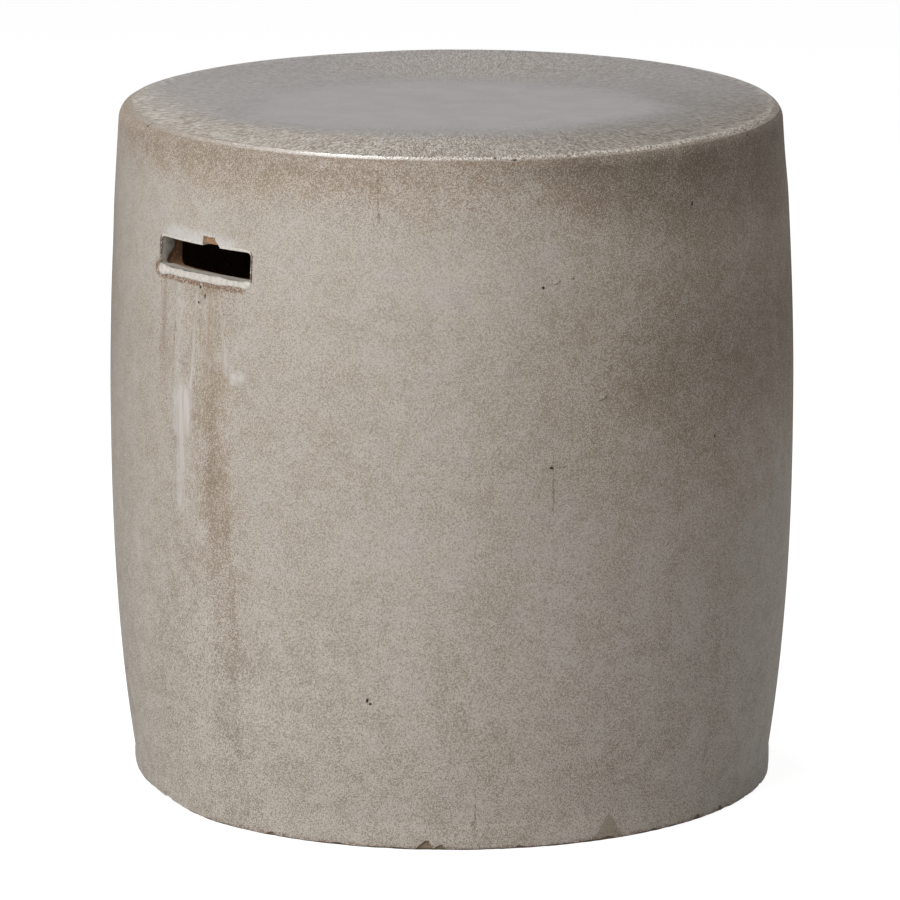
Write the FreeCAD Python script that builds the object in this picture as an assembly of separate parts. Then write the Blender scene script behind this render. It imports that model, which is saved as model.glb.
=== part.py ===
import FreeCAD, Part
import math
import os

# A ceramic garden stool: a glazed clay drum, open at the base, with a flat round seat
# and two hand slots through the wall just below it.
# Millimetres, +Z up. The origin is on the floor at the drum's centre, and X runs
# through the two hand slots.

# Outer shape, over the glaze
height = 457.0
belly_radius = 229.3
belly_height = 255.0
shoulder_radius = 221.2
foot_radius = 215.0
foot_band = 18.0
foot_flare = 8.5  # degrees that the wall leans outward just above the foot band
rim_lean = 4.0  # degrees that the wall leans inward where it meets the rim
rim_roll = 10.0  # radius of the rounded rim

# Clay
wall_thickness = 18.0
seat_thickness = 18.0
foot_thickness = 25.0
foot_arris = 1.0  # bevel along both edges of the standing face
corner_coil_size = 14.0
slip_thickness = 0.8  # dried slip in each luted seam

# Glaze
glaze_thickness = 1.5
bare_foot = 2.0  # clay wiped clean of glaze above the floor
glaze_break = 47.0  # degrees up the rim's curve where the seat's glaze ends over the wall's

# Hand slots
slot_width = 86.0
slot_height = 20.5
slot_corner = 3.0
slot_drop = 78.0  # seat face down to the slot's middle
slot_lip = 1.8  # how far the rolled lip stands out of the wall's glaze
slot_lip_width = 5.0  # how far the lip reaches above and below the slot
slot_end_lip_width = 3.0  # how far it reaches past the slot's ends
slot_lip_round = 1.0
slot_glaze_depth = 13.0  # how far the glaze runs into the slot from the wall's glazed face

# Places that follow from the sizes above
clay_inset = glaze_thickness  # from the glazed face in to the clay
hollow_inset = glaze_thickness + wall_thickness  # from the glazed face in to the hollow
seat_top = height - glaze_thickness
seat_underside = seat_top - seat_thickness
wall_top = seat_underside - slip_thickness
ring_top = foot_band - slip_thickness
slot_middle = height - slot_drop
rim_centre_radius = shoulder_radius - rim_roll * math.cos(math.radians(rim_lean))
rim_centre_height = height - rim_roll
axis_point = FreeCAD.Vector(0, 0, 0)
axis_direction = FreeCAD.Vector(0, 0, 1)


def at(radius, z):
    """A point of a turned outline."""
    return FreeCAD.Vector(0, radius, z)


def straight(points):
    """Straight edges from each point to the next."""
    return [Part.LineSegment(a, b).toShape() for a, b in zip(points, points[1:])]


def turned(edges):
    """The solid that a closed outline sweeps in one full turn."""
    outline = Part.Wire(Part.__sortEdges__(edges))
    return Part.Face(outline).revolve(axis_point, axis_direction, 360)


def rim_start(inset):
    """Height where the wall's curve gives way to the rounded rim."""
    return rim_centre_height + (rim_roll - inset) * math.sin(math.radians(rim_lean))


def wall_spans():
    """The wall's two curves: low and high end, and the radii of the four poles."""
    rise = (belly_height - foot_band) / 3.0
    flared = foot_radius + rise * math.tan(math.radians(foot_flare))
    lower = (foot_band, belly_height, (foot_radius, flared, belly_radius, belly_radius))
    top = rim_start(0)
    drop = (top - belly_height) / 3.0
    leaned = shoulder_radius + drop * math.tan(math.radians(rim_lean))
    upper = (belly_height, top, (belly_radius, belly_radius, leaned, shoulder_radius))
    return (lower, upper)


def wall_radius(z):
    """Radius of the glazed wall at a height between the foot band and the rim."""
    for low, high, radii in wall_spans():
        if z <= high:
            t = (z - low) / (high - low)
            break
    s = 1.0 - t
    return radii[0] * s**3 + 3 * radii[1] * t * s**2 + 3 * radii[2] * t**2 * s + radii[3] * t**3


def wall_edges(inset, low, high):
    """The wall's curve between two heights, moved inward by inset."""
    edges = []
    for start, end, radii in wall_spans():
        first = max(low, start)
        last = min(high, end)
        if last > first:
            curve = Part.BezierCurve()
            curve.setPoles([at(r - inset, start + (end - start) * k / 3.0) for k, r in enumerate(radii)])
            curve.segment((first - start) / (end - start), (last - start) / (end - start))
            edges.append(curve.toShape())
    return edges


def wall_point(inset, z):
    """The point at a height on the wall's curve moved inward by inset."""
    return at(wall_radius(z) - inset, z)


def rim_point(inset, degrees):
    """A point on the rounded rim, moved inward by inset."""
    angle = math.radians(degrees)
    reach = rim_roll - inset
    return at(rim_centre_radius + reach * math.cos(angle), rim_centre_height + reach * math.sin(angle))


def low_rim(inset):
    """The rounded rim from the wall up to the glaze break."""
    start = wall_point(inset, rim_start(inset))
    middle = rim_point(inset, (rim_lean + glaze_break) / 2.0)
    return Part.Arc(start, middle, rim_point(inset, glaze_break)).toShape()


def high_rim(inset):
    """The rounded rim from the glaze break to the flat seat."""
    middle = rim_point(inset, (glaze_break + 90.0) / 2.0)
    return Part.Arc(rim_point(inset, glaze_break), middle, rim_point(inset, 90.0)).toShape()


def band_between(outer, inner, low, high):
    """A turned layer of the wall between two insets and two heights."""
    edges = wall_edges(outer, low, high)
    edges += wall_edges(inner, low, high)
    edges += straight([wall_point(inner, low), wall_point(outer, low)])
    edges += straight([wall_point(outer, high), wall_point(inner, high)])
    return turned(edges)


def slot_bar(end_grow, edge_grow, inner_end):
    """A bar along +X with the slot's outline, grown at its ends and at its long edges."""
    length = 2 * belly_radius - inner_end
    across = slot_width + 2 * end_grow
    tall = slot_height + 2 * edge_grow
    corner = FreeCAD.Vector(inner_end, -across / 2.0, slot_middle - tall / 2.0)
    bar = Part.makeBox(length, across, tall, corner)
    long_edges = [edge for edge in bar.Edges if abs(edge.Length - length) < slot_corner / 100.0]
    return bar.makeFillet(slot_corner + min(end_grow, edge_grow), long_edges)


def opposite(shape):
    """The same shape on the other side of the drum."""
    copy = shape.copy()
    copy.rotate(axis_point, axis_direction, 180)
    return copy


def with_slots(shape):
    """A shape with both hand slots cut through it, at their size in the clay."""
    bar = slot_bar(glaze_thickness, glaze_thickness, 0)
    return shape.cut(bar).cut(opposite(bar))


def foot_ring():
    """Thick bare-footed ring that the drum stands on."""
    outside = foot_radius - clay_inset
    inside = outside - foot_thickness
    wall_inside = foot_radius - hollow_inset
    points = [
        at(outside - foot_arris, 0),
        at(outside, foot_arris),
        at(outside, ring_top),
        at(wall_inside, ring_top),
        at(inside, ring_top - (wall_inside - inside)),
        at(inside, foot_arris),
        at(inside + foot_arris, 0),
        at(outside - foot_arris, 0),
    ]
    return turned(straight(points))


def foot_slip():
    """Dried slip between the foot ring and the wall."""
    outside = foot_radius - clay_inset
    inside = foot_radius - hollow_inset
    points = [
        at(outside, ring_top),
        at(outside, foot_band),
        at(inside, foot_band),
        at(inside, ring_top),
        at(outside, ring_top),
    ]
    return turned(straight(points))


def drum_wall():
    """The bellied clay wall, from the foot seam to the seat seam."""
    return with_slots(band_between(clay_inset, hollow_inset, foot_band, wall_top))


def seat_slip():
    """Dried slip between the wall and the seat slab."""
    return band_between(clay_inset, hollow_inset, wall_top, seat_underside)


def seat_slab():
    """The round clay slab that closes the drum, with its rounded rim."""
    edges = wall_edges(clay_inset, seat_underside, rim_start(clay_inset))
    edges += [low_rim(clay_inset), high_rim(clay_inset)]
    edges += straight([rim_point(clay_inset, 90.0), at(0, seat_top), at(0, seat_underside)])
    edges += straight([at(0, seat_underside), wall_point(clay_inset, seat_underside)])
    return turned(edges)


def corner_coil():
    """Coil of clay smoothed hollow into the inner corner under the seat."""
    foot = seat_underside - corner_coil_size
    corner = wall_point(hollow_inset, seat_underside)
    low_end = wall_point(hollow_inset, foot)
    far_end = at(corner.y - corner_coil_size, seat_underside)
    half_turn = (low_end - corner).getAngle(far_end - corner) / 2.0
    to_chord = (low_end + far_end) / 2.0 - corner
    hollow = corner + to_chord / (1.0 + math.sin(half_turn))
    edges = wall_edges(hollow_inset, foot, seat_underside)
    edges += straight([corner, far_end])
    edges += [Part.Arc(far_end, hollow, low_end).toShape()]
    return turned(edges)


def wall_glaze():
    """Glaze coat over the foot band, the wall and the outer half of the rim."""
    edges = []
    for inset in (0, clay_inset):
        edges += straight([at(foot_radius - inset, bare_foot), at(foot_radius - inset, foot_band)])
        edges += wall_edges(inset, foot_band, rim_start(inset))
        edges += [low_rim(inset)]
    edges += straight([at(foot_radius - clay_inset, bare_foot), at(foot_radius, bare_foot)])
    edges += straight([rim_point(0, glaze_break), rim_point(clay_inset, glaze_break)])
    return with_slots(turned(edges))


def seat_glaze():
    """Glaze coat poured over the seat, ending on the rim over the wall's coat."""
    edges = [high_rim(0), high_rim(clay_inset)]
    edges += straight([rim_point(0, glaze_break), rim_point(clay_inset, glaze_break)])
    edges += straight([rim_point(0, 90.0), at(0, height), at(0, seat_top), rim_point(clay_inset, 90.0)])
    return turned(edges)


def on_lip(point):
    """Whether a point lies on the outermost face of a slot's rolled lip."""
    return math.hypot(point.x, point.y) > wall_radius(point.z) + slot_lip / 2.0


def slot_glaze():
    """Glaze that lines a hand slot, ends inside it and rolls over its outer edge."""
    margin = slot_height + slot_lip_width
    low = slot_middle - margin
    high = slot_middle + margin
    inner_end = belly_radius - hollow_inset - wall_thickness
    lining = slot_bar(glaze_thickness, glaze_thickness, inner_end)
    lining = lining.common(band_between(0, slot_glaze_depth, low, high))
    lip = slot_bar(slot_end_lip_width, slot_lip_width, inner_end)
    lip = lip.common(band_between(-slot_lip, 0, low, high))
    sharp = lining.fuse(lip).cut(slot_bar(0, 0, inner_end)).removeSplitter().Solids[0]
    lip_edges = [edge for edge in sharp.Edges if all(on_lip(v.Point) for v in edge.Vertexes)]
    return sharp.makeFillet(slot_lip_round, lip_edges)


os.makedirs("parts", exist_ok=True)
slot_glaze_right = slot_glaze()
nodes = {
    "foot_ring": foot_ring(),
    "foot_slip": foot_slip(),
    "drum_wall": drum_wall(),
    "seat_slip": seat_slip(),
    "seat_slab": seat_slab(),
    "corner_coil": corner_coil(),
    "wall_glaze": wall_glaze(),
    "seat_glaze": seat_glaze(),
    "slot_glaze_right": slot_glaze_right,
    "slot_glaze_left": opposite(slot_glaze_right),
}
for name, shape in nodes.items():
    shape.exportStep("parts/" + name + ".step")
    print(name, shape.ShapeType, len(shape.Solids), shape.isValid(), round(shape.Volume / 1000.0, 1), "cm3")
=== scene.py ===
import math

import bpy
import numpy as np
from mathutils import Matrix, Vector, noise


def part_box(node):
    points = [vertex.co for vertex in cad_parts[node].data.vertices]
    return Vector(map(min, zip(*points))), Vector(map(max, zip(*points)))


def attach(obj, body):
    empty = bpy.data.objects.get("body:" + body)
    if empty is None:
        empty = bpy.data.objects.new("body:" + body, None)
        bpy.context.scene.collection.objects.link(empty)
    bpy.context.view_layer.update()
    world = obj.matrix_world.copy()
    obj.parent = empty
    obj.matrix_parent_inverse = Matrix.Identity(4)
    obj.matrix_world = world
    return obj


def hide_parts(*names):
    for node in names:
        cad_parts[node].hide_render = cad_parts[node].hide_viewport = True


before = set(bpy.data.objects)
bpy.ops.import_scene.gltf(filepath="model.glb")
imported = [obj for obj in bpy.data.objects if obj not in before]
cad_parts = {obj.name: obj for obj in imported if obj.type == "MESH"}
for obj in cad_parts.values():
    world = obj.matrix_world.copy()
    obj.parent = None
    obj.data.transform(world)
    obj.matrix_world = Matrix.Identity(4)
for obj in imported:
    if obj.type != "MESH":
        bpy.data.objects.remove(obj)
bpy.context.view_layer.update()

MM = 0.001

# The drum's own sizes, in metres
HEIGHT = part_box("seat_glaze")[1].z
BELLY_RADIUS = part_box("wall_glaze")[1].x
BARE_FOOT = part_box("wall_glaze")[0].z
FOOT_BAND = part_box("foot_slip")[1].z
GLAZE = 1.5 * MM
FOOT_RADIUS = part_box("foot_ring")[1].x + GLAZE
SEAM_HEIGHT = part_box("foot_slip")[0].z
BELLY_HEIGHT = 255 * MM
SHOULDER_RADIUS = 221.2 * MM
FOOT_FLARE = math.radians(8.5)
RIM_LEAN = math.radians(4)
RIM_ROLL = 10 * MM
RIM_CENTRE_RADIUS = SHOULDER_RADIUS - RIM_ROLL * math.cos(RIM_LEAN)
RIM_CENTRE_HEIGHT = HEIGHT - RIM_ROLL
RIM_START = RIM_CENTRE_HEIGHT + RIM_ROLL * math.sin(RIM_LEAN)
WALL = 18 * MM
FOOT_THICKNESS = 25 * MM

# The hand slots, on the drum's -X and +X sides
SLOT_WIDTH = 86 * MM
SLOT_HEIGHT = 20.5 * MM
SLOT_CORNER = 3 * MM
SLOT_MIDDLE = HEIGHT - 78 * MM
SLOT_GLAZE_DEPTH = 13 * MM

# The glaze's face lies this far under the drum's outline, so that its runs can stand out
FACE_INSET = 0.35 * MM

# Angles round the drum are in degrees from the side that faces the camera, positive to the right
PHOTO_TURN = 44.0
DEGREE_LENGTH = 4.0  # mm round the belly in one degree
LEFT_SLOT = PHOTO_TURN - 90
RIGHT_SLOT = PHOTO_TURN + 90


# Numbers that more than one shape uses

def smooth_step(low, high, value):
    """0 below low, 1 above high, and a smooth rise between them."""
    t = np.clip((np.asarray(value, float) - low) / (high - low), 0, 1)
    return t * t * (3 - 2 * t)


def hump(value, middle, reach):
    """1 at the middle, falling smoothly to 0 at reach on either side."""
    return 1 - smooth_step(0, 1, np.abs(np.asarray(value, float) - middle) / reach)


def between(value, low, full, end, high):
    """1 from full to end, falling smoothly to 0 at low and at high."""
    return smooth_step(low, full, value) * smooth_step(high, end, value)


def by_angle(table, angle):
    """Reads a table of (angle, value) at other angles."""
    return np.interp(angle, *zip(*table))


def turn_between(angle, middle):
    """Degrees from middle to angle, the short way round."""
    return (np.asarray(angle, float) - middle + 180) % 360 - 180


def angle_of(points):
    """Degrees round the drum from the side that faces the camera."""
    turned = np.degrees(np.arctan2(points[:, 0], -points[:, 1])) + PHOTO_TURN
    return turn_between(turned, 0)


def rough(points, size, seed=0):
    """Smooth noise between about -1 and 1 with lumps of a size in metres."""
    shift = Vector((seed * 3.1, seed * 1.7, seed * 2.3))
    return np.array([noise.noise(Vector(p) / size + shift) for p in points])


def round_noise(angle, lumps, seed=0):
    """Smooth noise round the drum that meets itself, with so many lumps in a full turn."""
    a = np.radians(angle)
    reach = lumps / 6.3
    ring = zip(np.cos(a) * reach, np.sin(a) * reach)
    return np.array([noise.noise(Vector((x, y, seed * 5.3))) for x, y in ring])


def bezier(poles, t):
    s = 1 - t
    return poles[0] * s**3 + 3 * poles[1] * t * s**2 + 3 * poles[2] * t**2 * s + poles[3] * t**3


def wall_radius(z):
    """Radius of the drum's outline at a height below the rim."""
    z = np.asarray(z, float)
    rise = (BELLY_HEIGHT - FOOT_BAND) / 3
    drop = (RIM_START - BELLY_HEIGHT) / 3
    low = (FOOT_RADIUS, FOOT_RADIUS + rise * math.tan(FOOT_FLARE), BELLY_RADIUS, BELLY_RADIUS)
    high = (BELLY_RADIUS, BELLY_RADIUS, SHOULDER_RADIUS + drop * math.tan(RIM_LEAN), SHOULDER_RADIUS)
    below = bezier(low, np.clip((z - FOOT_BAND) / (BELLY_HEIGHT - FOOT_BAND), 0, 1))
    above = bezier(high, np.clip((z - BELLY_HEIGHT) / (RIM_START - BELLY_HEIGHT), 0, 1))
    return np.where(z < BELLY_HEIGHT, below, above)


def rim_point(inset, degrees):
    """Radius and height of a point on the rounded rim, moved inward by inset."""
    reach = RIM_ROLL - inset
    angle = math.radians(degrees)
    return (RIM_CENTRE_RADIUS + reach * math.cos(angle), RIM_CENTRE_HEIGHT + reach * math.sin(angle))


def rim_slant(radius, z):
    """Direction in radians, up from level, at which points lie from the middle of the rim's curve."""
    return np.arctan2(z - RIM_CENTRE_HEIGHT, radius - RIM_CENTRE_RADIUS)


def rim_reach(radius, z):
    """Distance of points from the middle of the rim's curve."""
    return np.hypot(z - RIM_CENTRE_HEIGHT, radius - RIM_CENTRE_RADIUS)


def along_rim(radius, z):
    """How far in mm points lie past the edge of the flat seat, along the rim's curve."""
    past = (math.pi / 2 - rim_slant(radius, z)) * RIM_ROLL
    return np.where(radius > RIM_CENTRE_RADIUS, past, radius - RIM_CENTRE_RADIUS) / MM


# Modelling steps that more than one piece uses

def deselect_all():
    if bpy.context.mode != "OBJECT":
        bpy.ops.object.mode_set(mode="OBJECT")
    bpy.ops.object.select_all(action="DESELECT")


def take_up(piece):
    """Makes a piece the one that is selected and worked on."""
    deselect_all()
    piece.select_set(True)
    bpy.context.view_layer.objects.active = piece


def edit(piece):
    """Opens a piece for editing with all of it selected."""
    take_up(piece)
    bpy.ops.object.mode_set(mode="EDIT")
    bpy.ops.mesh.select_mode(type="VERT")
    bpy.ops.mesh.select_all(action="SELECT")


def edit_some(piece, kind, chosen):
    """Opens a piece for editing with the edges or faces selected for which chosen is true."""
    edit(piece)
    bpy.ops.mesh.select_mode(type=kind)
    bpy.ops.mesh.select_all(action="DESELECT")
    bpy.ops.object.mode_set(mode="OBJECT")
    parts = piece.data.edges if kind == "EDGE" else piece.data.polygons
    parts.foreach_set("select", chosen)
    bpy.ops.object.mode_set(mode="EDIT")


def close_up(piece, gap=0.02 * MM):
    """Merges doubled points and turns every face outward."""
    edit(piece)
    bpy.ops.mesh.remove_doubles(threshold=gap)
    bpy.ops.mesh.normals_make_consistent(inside=False)
    bpy.ops.object.mode_set(mode="OBJECT")


def thrown(name, outline, steps):
    """A piece turned from an outline of (radius, height) points, as on a wheel.

    An outline that begins and ends on the axis stays open there.
    """
    deselect_all()
    bpy.ops.mesh.primitive_circle_add(vertices=len(outline), radius=BELLY_RADIUS, location=(0, 0, 0))
    piece = bpy.context.object
    piece.name = name
    radii, heights = np.array(outline).T
    set_points(piece, np.stack([0 * radii, radii, heights], 1))
    ends = {0, len(outline) - 1}
    starts_on_axis = float(radii[0]) == 0
    edit_some(piece, "EDGE", [starts_on_axis and set(edge.vertices) == ends for edge in piece.data.edges])
    bpy.ops.mesh.delete(type="EDGE")
    bpy.ops.object.mode_set(mode="OBJECT")
    turn = piece.modifiers.new("turn", "SCREW")
    turn.axis = "Z"
    turn.angle = math.tau
    turn.steps = turn.render_steps = steps
    turn.use_merge_vertices = True
    turn.merge_threshold = 0.01 * MM
    bpy.ops.object.modifier_apply(modifier=turn.name)
    close_up(piece)
    return piece


def points_of(piece):
    points = np.empty(len(piece.data.vertices) * 3)
    piece.data.vertices.foreach_get("co", points)
    return points.reshape(-1, 3)


def set_points(piece, points):
    piece.data.vertices.foreach_set("co", np.asarray(points, float).ravel())
    piece.data.update()


def turned_points(piece):
    """A piece's points with their angle round the drum, their radius and their height."""
    points = points_of(piece)
    return points, angle_of(points), np.hypot(points[:, 0], points[:, 1]), points[:, 2].copy()


def set_turned(piece, points, radius, z):
    """Gives points a new radius and height, each on its own side of the axis."""
    across = np.arctan2(points[:, 0], points[:, 1])
    set_points(piece, np.stack([radius * np.sin(across), radius * np.cos(across), z], 1))


def finer(piece, is_inside):
    """Subdivides the faces whose middles lie inside."""
    middles = np.array([face.center for face in piece.data.polygons])
    edit_some(piece, "FACE", is_inside(middles))
    bpy.ops.mesh.subdivide(number_cuts=1)
    bpy.ops.object.mode_set(mode="OBJECT")


def cut(piece, cutter):
    """Cuts one shape out of a piece and throws the cutter away."""
    take_up(piece)
    hole = piece.modifiers.new("hole", "BOOLEAN")
    hole.operation = "DIFFERENCE"
    hole.solver = "MANIFOLD"
    hole.object = cutter
    bpy.ops.object.modifier_apply(modifier=hole.name)
    bpy.data.objects.remove(cutter)


def smooth(piece, degrees=35):
    take_up(piece)
    bpy.ops.object.shade_smooth_by_angle(angle=math.radians(degrees))


def block(place, size):
    """A box with its place and size in its mesh."""
    deselect_all()
    bpy.ops.mesh.primitive_cube_add(size=1, location=place, scale=size)
    box = bpy.context.object
    bpy.ops.object.transform_apply(location=True, rotation=True, scale=True)
    return box


def slot_bar(side, grow):
    """A bar through the wall with a hand slot's outline; side is -1 for -X and 1 for +X."""
    length = 120 * MM
    size = (length, SLOT_WIDTH + 2 * grow, SLOT_HEIGHT + 2 * grow)
    bar = block((side * BELLY_RADIUS, 0, SLOT_MIDDLE), size)
    ends = [[bar.data.vertices[i].co.x for i in edge.vertices] for edge in bar.data.edges]
    edit_some(bar, "EDGE", [abs(first - last) > length / 2 for first, last in ends])
    bpy.ops.mesh.bevel(offset=SLOT_CORNER + grow, segments=5, affect="EDGES")
    bpy.ops.object.mode_set(mode="OBJECT")
    return bar


def gap_cutter():
    """A ragged wedge: the bare gap in the glaze over the slot that faces the camera."""
    angle = math.radians(LEFT_SLOT - PHOTO_TURN + 2.2)
    radius = wall_radius(SLOT_MIDDLE)
    middle = (radius * math.sin(angle), -radius * math.cos(angle))
    half_width = 9 * MM
    bottom = SLOT_MIDDLE
    top = SLOT_MIDDLE + SLOT_HEIGHT / 2 + 6 * MM
    wedge = block((*middle, (top + bottom) / 2), (30 * MM, 2 * half_width, top - bottom))
    edit(wedge)
    bpy.ops.mesh.subdivide(number_cuts=6)
    bpy.ops.object.mode_set(mode="OBJECT")
    points = points_of(wedge)
    rise = (points[:, 2] - bottom) / (top - bottom)
    across = (points[:, 1] - middle[1]) / half_width
    # The viewer's left is +Y here: that side stands upright and the right side leans in
    lean = np.where(across < 0, 1 - 0.62 * smooth_step(0.55, 1, rise), 0.8)
    points[:, 1] = middle[1] + across * half_width * lean
    ragged = points * (0, 1, 1)
    points[:, 1] += 0.5 * MM * rough(ragged, 2.5 * MM, 4)
    points[:, 2] += 0.5 * MM * rough(ragged, 2.2 * MM, 7) * (rise > 0.5)
    set_points(wedge, points)
    return wedge


# Runs of thick glaze under the slot that faces the camera: (angle, height) from the top down,
# half width and rise in mm
RUNS = (
    (((-46.4, 364), (-46.8, 345), (-47.5, 303), (-48.2, 290)), 1.5, 0.42),
    (((-49.8, 286), (-49.9, 268)), 9.0, 0.60),
    (((-50.0, 266), (-50.6, 215)), 5.0, 0.42),
    (((-40.9, 350), (-40.4, 332), (-39.4, 318)), 1.6, 0.36),
    (((-40.2, 322), (-39.2, 311), (-37.8, 306), (-36.2, 308)), 5.6, 0.37),
    (((-51.0, 360), (-51.2, 292)), 6.0, 0.24),
    (((-38.9, 345), (-37.8, 318)), 7.0, 0.20),
)

# Low ridges and lumps on the wall: angle, height, half length, half width, slope in degrees, rise in mm
LUMPS = (
    (24.7, 299, 5.0, 1.5, 35, 0.5),
    (48.7, 265, 4.5, 1.6, 30, 0.5),
    (21.5, 381, 3.0, 1.4, 15, 0.25),
    (98.0, 210, 6.0, 2.0, 60, 0.5),
    (150.0, 330, 4.0, 1.5, -25, 0.5),
    (-120.0, 180, 5.0, 1.8, 20, 0.5),
    (-155.0, 300, 3.5, 1.5, 50, 0.4),
)


def distance_to_line(across, up, line):
    """Distance in mm from points to a bent line."""
    best = np.full(len(across), 1e9)
    for (a0, z0), (a1, z1) in zip(line, line[1:]):
        x0, x1 = a0 * DEGREE_LENGTH, a1 * DEGREE_LENGTH
        dx, dz = x1 - x0, z1 - z0
        t = np.clip(((across - x0) * dx + (up - z0) * dz) / (dx * dx + dz * dz), 0, 1)
        best = np.minimum(best, np.hypot(across - x0 - t * dx, up - z0 - t * dz))
    return best


def run_relief(angle, up):
    """Height in mm of the glaze's runs over the wall's face."""
    relief = np.zeros(len(angle))
    for line, width, rise in RUNS:
        near = distance_to_line(angle * DEGREE_LENGTH, up, line)
        relief = np.maximum(relief, rise * hump(near, 0, 1.9 * width))
    return relief


def lump_relief(angle, up):
    relief = np.zeros(len(angle))
    for middle, height, length, width, slope, rise in LUMPS:
        across = turn_between(angle, middle) * DEGREE_LENGTH
        along = math.radians(slope)
        u = across * math.cos(along) + (up - height) * math.sin(along)
        v = (up - height) * math.cos(along) - across * math.sin(along)
        relief += rise * hump(np.hypot(u / (1.8 * length), v / (1.8 * width)), 0, 1)
    return relief


def worn_foot(angle):
    """1 along the stretch of the foot whose outer edge is worn to a bevel."""
    return between(angle, -155, -112, -70, -45)


# Nicks along the foot's glazed edge: angle, half width in degrees, rise in mm
NICKS = ((-4.4, 1.1, 5.5), (-1.9, 0.6, 3.0), (56.0, 0.9, 3.0), (49.0, 0.7, 3.0), (28.6, 1.0, 1.4),
         (-33.0, 0.8, 2.0), (-61.0, 1.0, 1.6), (12.0, 0.5, 1.6), (75.0, 0.8, 2.6), (110.0, 1.2, 3.5),
         (146.0, 0.8, 2.5), (-170.0, 1.0, 4.0), (-128.0, 0.7, 2.5), (38.0, 0.5, 1.4), (-20.0, 0.5, 1.5))


def nick_share(angle, middle, reach):
    """1 in the middle of a nick; its right side is steep and its left side slopes."""
    off = turn_between(angle, middle)
    return smooth_step(-1.8 * reach, -0.2 * reach, off) * smooth_step(0.6 * reach, 0.35 * reach, off)


def foot_edge(angle):
    """Height in metres of the glaze's lower edge."""
    edge = 1.5 + 0.5 * round_noise(angle, 60, 1) + 0.5 * round_noise(angle, 220, 2)
    for middle, reach, rise in NICKS:
        edge += rise * nick_share(angle, middle, reach)
    edge += 4.6 * worn_foot(angle) + 0.8 * worn_foot(angle) * round_noise(angle, 120, 3)
    return np.maximum(edge, 0.8) * MM


def wall_face(angle, z, points):
    """How far in metres the glazed wall's face stands out from its outline."""
    up = z / MM
    face = -FACE_INSET / MM + 0.16 * rough(points, 90 * MM, 1) + 0.07 * rough(points, 35 * MM, 2)
    face += np.minimum(run_relief(angle, up), 0.6) + lump_relief(angle, up)
    face += 0.25 * smooth_step(17.5, 15.5, up + 1.5 * round_noise(angle, 40, 6))
    face += 0.6 * hump(turn_between(angle, -85), 0, 50) * smooth_step(360, 400, up)
    face -= 0.9 * hump(turn_between(angle, 85), 0, 45) * smooth_step(395, 430, up)
    ends = smooth_step(4.5, 2.0, up - foot_edge(angle) / MM)
    return (face - 0.35 * ends) * MM


def wall_outline():
    """The glaze coat's section: up the outside, over the rim and down the inside."""
    heights = [BARE_FOOT + d * MM for d in (0, 0.7, 1.5, 2.5, 3.8, 5.5, 7.5, 10, 12.5)]
    heights += [FOOT_BAND + d * MM for d in (-3.2, -1.5, -0.4, 0.8, 2.5, 4.8)]
    heights += list(np.linspace(FOOT_BAND + 7.5 * MM, RIM_START - 3 * MM, 106))
    outline = [(float(wall_radius(z)), float(z)) for z in heights]
    outline += [rim_point(0, d) for d in (4, 10, 17, 24, 31, 38, 44, 48)]
    outline += [rim_point(GLAZE, d) for d in (50, 35, 20, 4)]
    inner = [FOOT_BAND + d * MM for d in (400, 350, 300, 250, 200, 150, 100, 60, 30, 10, 0)]
    outline += [(float(wall_radius(z)) - GLAZE, z) for z in inner]
    outline += [(FOOT_RADIUS - GLAZE, BARE_FOOT + 0.2 * MM)]
    return outline


def under_left_slot(middles):
    """Whether faces of the wall's outer side lie in the area below the slot that faces the camera."""
    z = middles[:, 2]
    near = np.abs(turn_between(angle_of(middles), LEFT_SLOT)) < 15
    outer = np.hypot(middles[:, 0], middles[:, 1]) > wall_radius(z) - GLAZE / 2
    return near & outer & (z > 228 * MM) & (z < 402 * MM)


def make_wall_glaze():
    coat = thrown("wall_glaze_coat", wall_outline(), 480)
    finer(coat, under_left_slot)
    points, angle, radius, z = turned_points(coat)
    # Rim points move along the rim's own radius, wall points level
    on_rim = z > RIM_START + 0.01 * MM
    slant = np.where(on_rim, rim_slant(radius, z), 0)
    depth = np.where(on_rim, RIM_ROLL - rim_reach(radius, z), wall_radius(z) - radius)
    outside = depth < GLAZE / 2
    lift = (foot_edge(angle) - BARE_FOOT) * smooth_step(16 * MM, 3 * MM, z)
    face = np.where(outside, wall_face(angle, z + lift, points), 0)
    worn = worn_foot(angle) * smooth_step(9 * MM, 5 * MM, z + lift) * 0.8 * MM
    radius = radius + (face - np.where(outside, worn, 0)) * np.cos(slant)
    set_turned(coat, points, radius, z + lift + face * np.sin(slant))
    for side in (-1, 1):
        cut(coat, slot_bar(side, GLAZE))
    cut(coat, gap_cutter())
    close_up(coat)
    smooth(coat)
    return coat


# Edge of the smooth pool of glaze on the seat: angle and radius in mm
POOL_EDGE = ((-180, 75), (-127, 103), (-63, 148), (0, 105), (77, 138), (130, 92), (180, 75))


def pool_share(angle, radius):
    """1 in the smooth pool on the seat and 0 on the wrinkled glaze round it."""
    edge = by_angle(POOL_EDGE, angle) + 9 * round_noise(angle, 14, 11) + 5 * round_noise(angle, 40, 12)
    return smooth_step(44, -36, radius / MM - edge)


# Radius in mm from which the seat's glaze is flecked like the wall's, by angle
FLECKED_FROM = ((-180, 220), (-115, 212), (-90, 164), (-60, 126), (-30, 116), (0, 108), (40, 122),
                (77, 160), (100, 200), (125, 226), (180, 232))
# Where the seat's pale glaze gives way to tan, by angle: mm past the edge of the flat seat
PALE_END = ((-180, 5), (-110, 4), (-90, 1), (-75, 0), (-55, 0), (-45, -1), (-40, 0), (-33, 1.5), (-26, 2.5),
            (-15, 4.5), (10, 5.5), (45, 5.7), (75, 7), (120, 6.3), (180, 5))
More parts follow.
